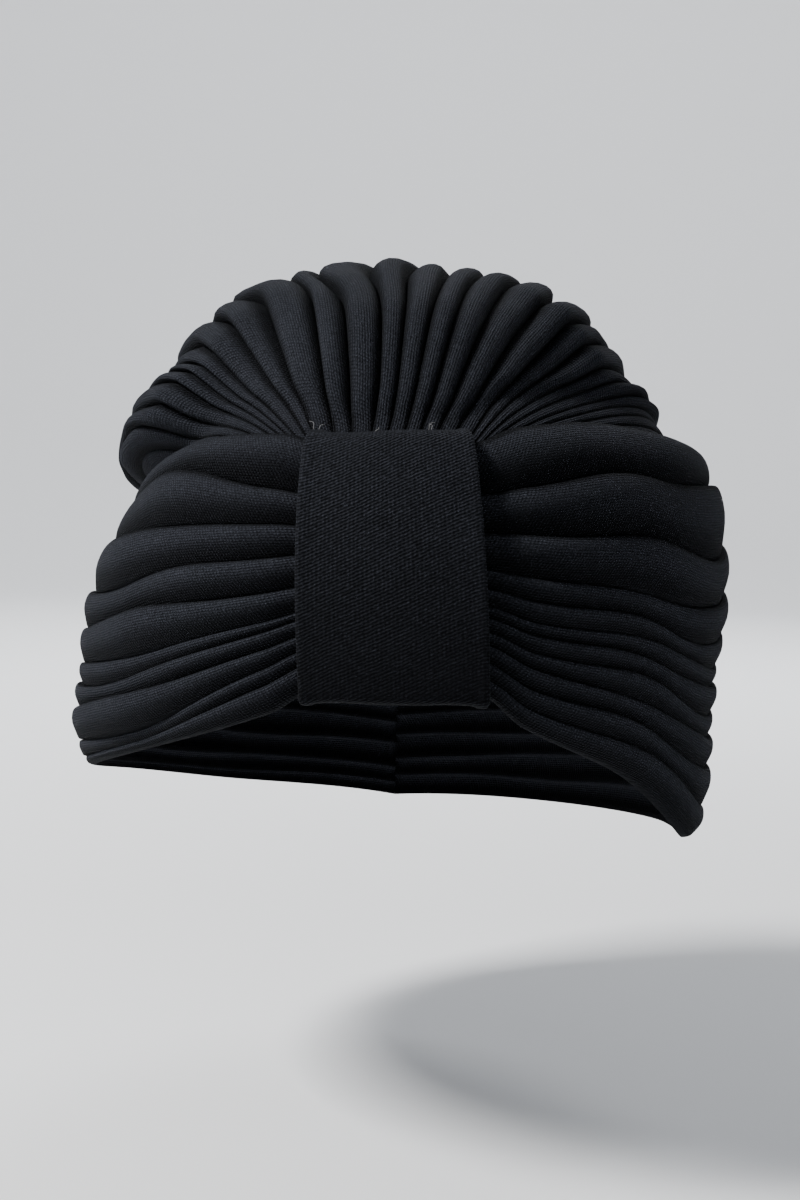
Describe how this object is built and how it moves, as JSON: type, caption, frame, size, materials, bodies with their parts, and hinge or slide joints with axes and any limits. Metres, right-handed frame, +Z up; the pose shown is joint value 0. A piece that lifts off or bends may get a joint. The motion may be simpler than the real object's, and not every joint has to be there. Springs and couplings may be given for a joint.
{
  "type": "pleated turban headwrap",
  "caption": "Soft knitted turban with a fan-pleated crown gathered at the front, pleated side wraps and a flat woven tab.",
  "frame": {"origin": "the point inside the crown where the top of the wearer's head rests", "axes": "+Z up along the wearer's head, -Y the way the wearer looks, +X the wearer's left"},
  "size_m": [0.1958, 0.2242, 0.1783],
  "materials": {
    "jersey": "soft matt knitted jersey",
    "twill": "matt woven twill"
  },
  "bodies": {
    "root": {"crown": "jersey", "wrap_left": "jersey", "wrap_right": "jersey", "center_tab": "twill"}
  },
  "joints": []
}
